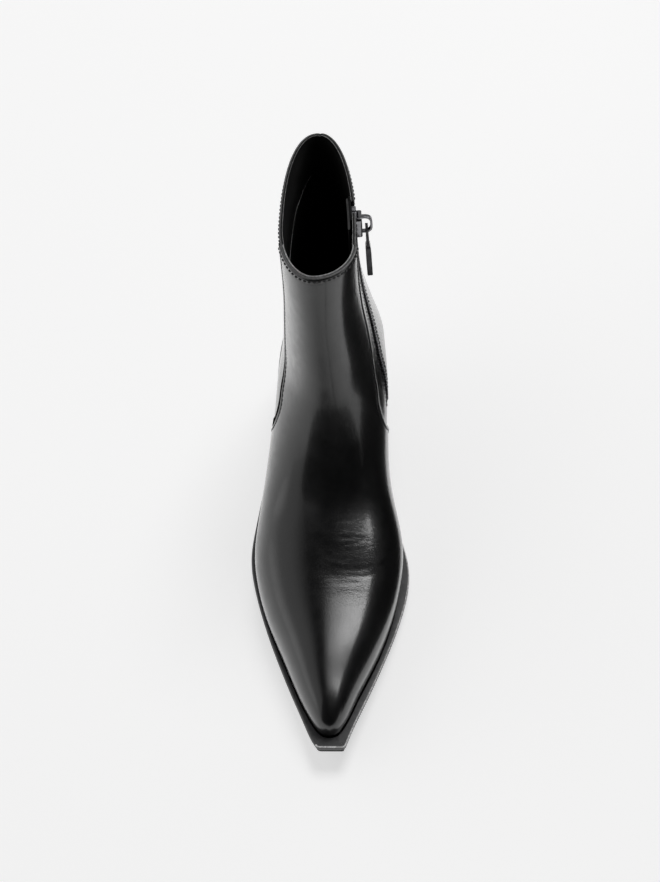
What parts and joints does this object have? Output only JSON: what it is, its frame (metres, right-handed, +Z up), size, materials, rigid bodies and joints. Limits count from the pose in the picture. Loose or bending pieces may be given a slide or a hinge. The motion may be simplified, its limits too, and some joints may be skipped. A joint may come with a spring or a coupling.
{
  "type": "cowboy ankle boot",
  "caption": "Right-foot cowboy ankle boot with a pointed toe, underslung heel, flat welt, hollow leather upper and an inner-side zip with a hinged pull tab.",
  "frame": {"origin": "on the floor under the middle of the boot's bounding box", "axes": "-Y towards the toe, +X towards the inner side with the zip, +Z up"},
  "size_m": [0.0896, 0.2786, 0.208],
  "materials": {
    "upper_leather": "polished smooth black leather",
    "welt_leather": "satin dark grey edge",
    "sole_leather": "satin black",
    "heel_stack": "satin black",
    "insole_leather": "matt black",
    "guard_leather": "matt black",
    "zip_tape_cloth": "woven matt black",
    "zip_teeth_metal": "dark gunmetal",
    "zip_slider_metal": "polished gunmetal",
    "zip_pull_metal": "polished gunmetal"
  },
  "bodies": {
    "boot": {"upper": "upper_leather", "welt": "welt_leather", "outsole": "sole_leather", "heel": "heel_stack", "insole": "insole_leather", "zip_tape": "zip_tape_cloth", "zip_teeth": "zip_teeth_metal", "zip_guard": "guard_leather", "zip_slider": "zip_slider_metal"},
    "pull_tab": {"zip_pull": "zip_pull_metal"}
  },
  "joints": [
    {"name": "pull_tab_hinge", "type": "hinge", "parent": "boot", "child": "pull_tab", "pos_m": [0.02223, 0.08221, 0.19068], "axis": [0.0761, -0.9955, 0.0556], "range_deg": [0, 140]}
  ]
}
